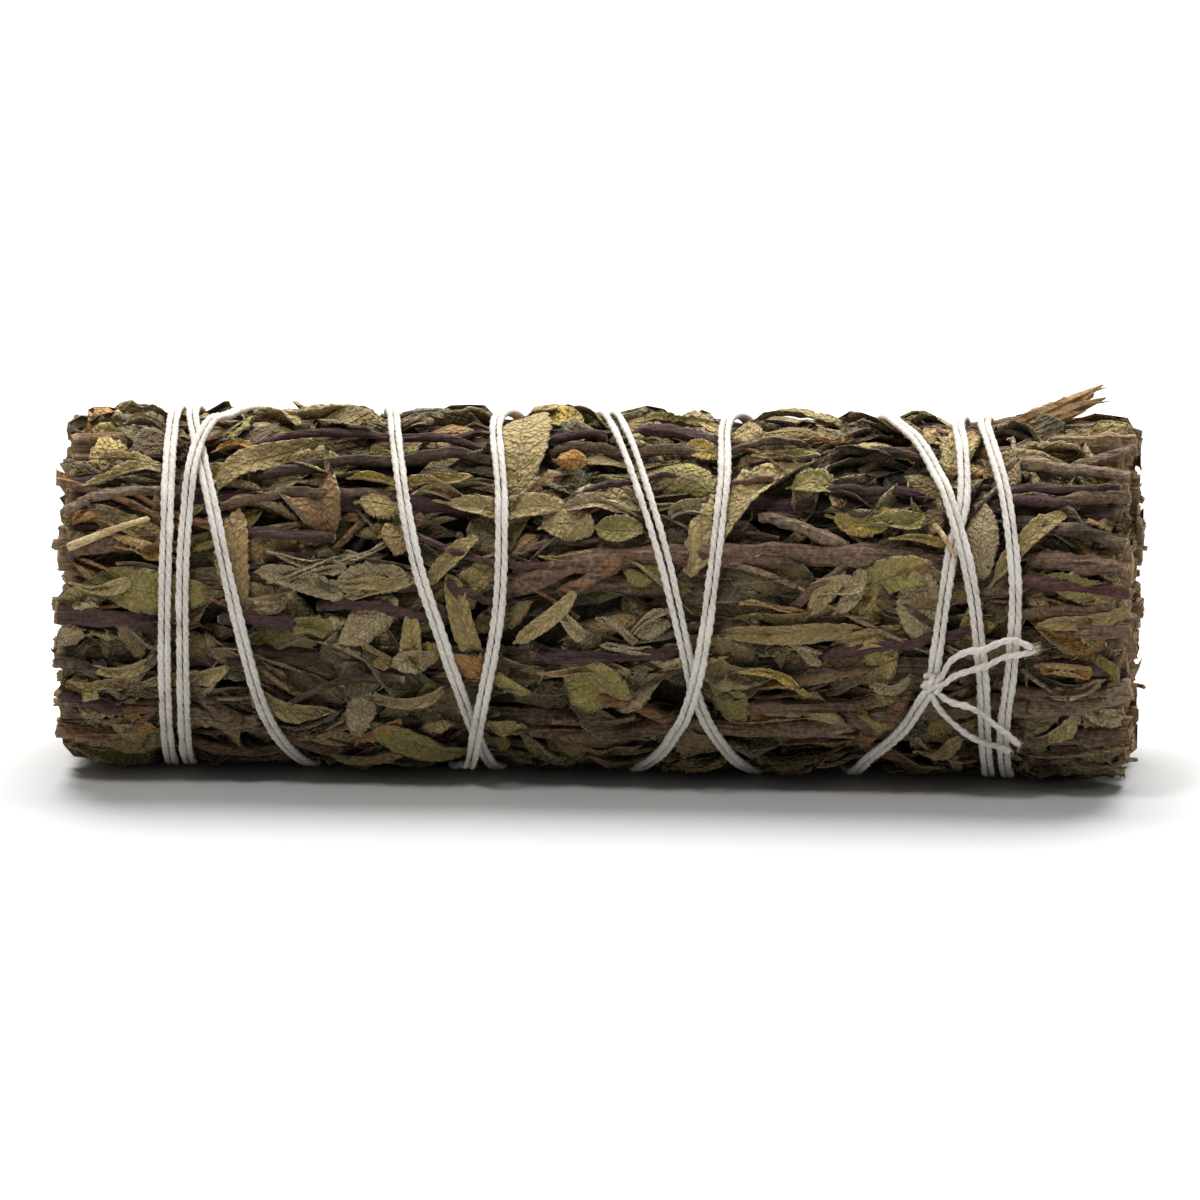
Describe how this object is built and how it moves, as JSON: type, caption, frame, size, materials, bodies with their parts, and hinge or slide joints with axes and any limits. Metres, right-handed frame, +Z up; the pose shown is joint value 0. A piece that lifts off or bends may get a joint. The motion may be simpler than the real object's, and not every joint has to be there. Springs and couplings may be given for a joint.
{
  "type": "dried sage bunch",
  "caption": "Dried sage stick lying on its side: woody stems and pressed leaves bound into a cylinder by a doubled cotton twine with a knot and short ends.",
  "frame": {"origin": "on the surface the bunch lies on, under the middle of its box", "axes": "+X along the stems, towards the end with the knot; -Y is the side with the knot; +Z up"},
  "size_m": [0.1, 0.0354, 0.0354],
  "materials": {
    "bark": "dry ridged grey-brown bark with tan cut ends",
    "purple_bark": "dry purple-brown bark of young stems, finely downy",
    "green_leaf": "dry olive-green pebbled leaf, matt",
    "grey_leaf": "dry grey-green downy leaf, matt",
    "bare_wood": "split tan wood, fibrous",
    "straw": "pale dry straw, faint gloss",
    "cotton_twine": "off-white plied cotton, fuzzy and matt"
  },
  "bodies": {
    "root": {"core_stem": "bark", "inner_stem_01": "bark", "inner_stem_02": "bark", "inner_stem_03": "bark", "inner_stem_04": "bark", "inner_stem_05": "bark", "inner_stem_06": "bark", "middle_stem_01": "bark", "middle_stem_02": "purple_bark", "middle_stem_03": "bark", "middle_stem_04": "bark", "middle_stem_05": "purple_bark", "middle_stem_06": "bark", "middle_stem_07": "bark", "middle_stem_08": "purple_bark", "middle_stem_09": "bark", "middle_stem_10": "bark", "middle_stem_11": "purple_bark", "middle_stem_12": "bark", "outer_stem_01": "bark", "outer_stem_02": "purple_bark", "outer_stem_03": "bark", "outer_stem_04": "bark", "outer_stem_05": "bark", "outer_stem_06": "purple_bark", "outer_stem_07": "bark", "outer_stem_08": "bark", "outer_stem_09": "bark", "outer_stem_10": "purple_bark", "outer_stem_11": "bark", "outer_stem_12": "bark", "leaf_spray_01": "green_leaf", "leaf_spray_02": "green_leaf", "leaf_spray_03": "grey_leaf", "leaf_spray_04": "green_leaf", "leaf_spray_05": "green_leaf", "leaf_spray_06": "grey_leaf", "leaf_spray_07": "green_leaf", "leaf_spray_08": "green_leaf", "leaf_spray_09": "grey_leaf", "leaf_spray_10": "green_leaf", "leaf_spray_11": "green_leaf", "leaf_spray_12": "grey_leaf", "leaf_spray_13": "green_leaf", "leaf_spray_14": "green_leaf", "leaf_spray_15": "grey_leaf", "leaf_spray_16": "green_leaf", "leaf_spray_17": "green_leaf", "leaf_spray_18": "grey_leaf", "leaf_spray_19": "green_leaf", "leaf_spray_20": "green_leaf", "leaf_spray_21": "grey_leaf", "leaf_spray_22": "green_leaf", "leaf_spray_23": "green_leaf", "leaf_spray_24": "grey_leaf", "twine": "cotton_twine", "broken_twig": "bare_wood", "straw": "straw"}
  },
  "joints": []
}
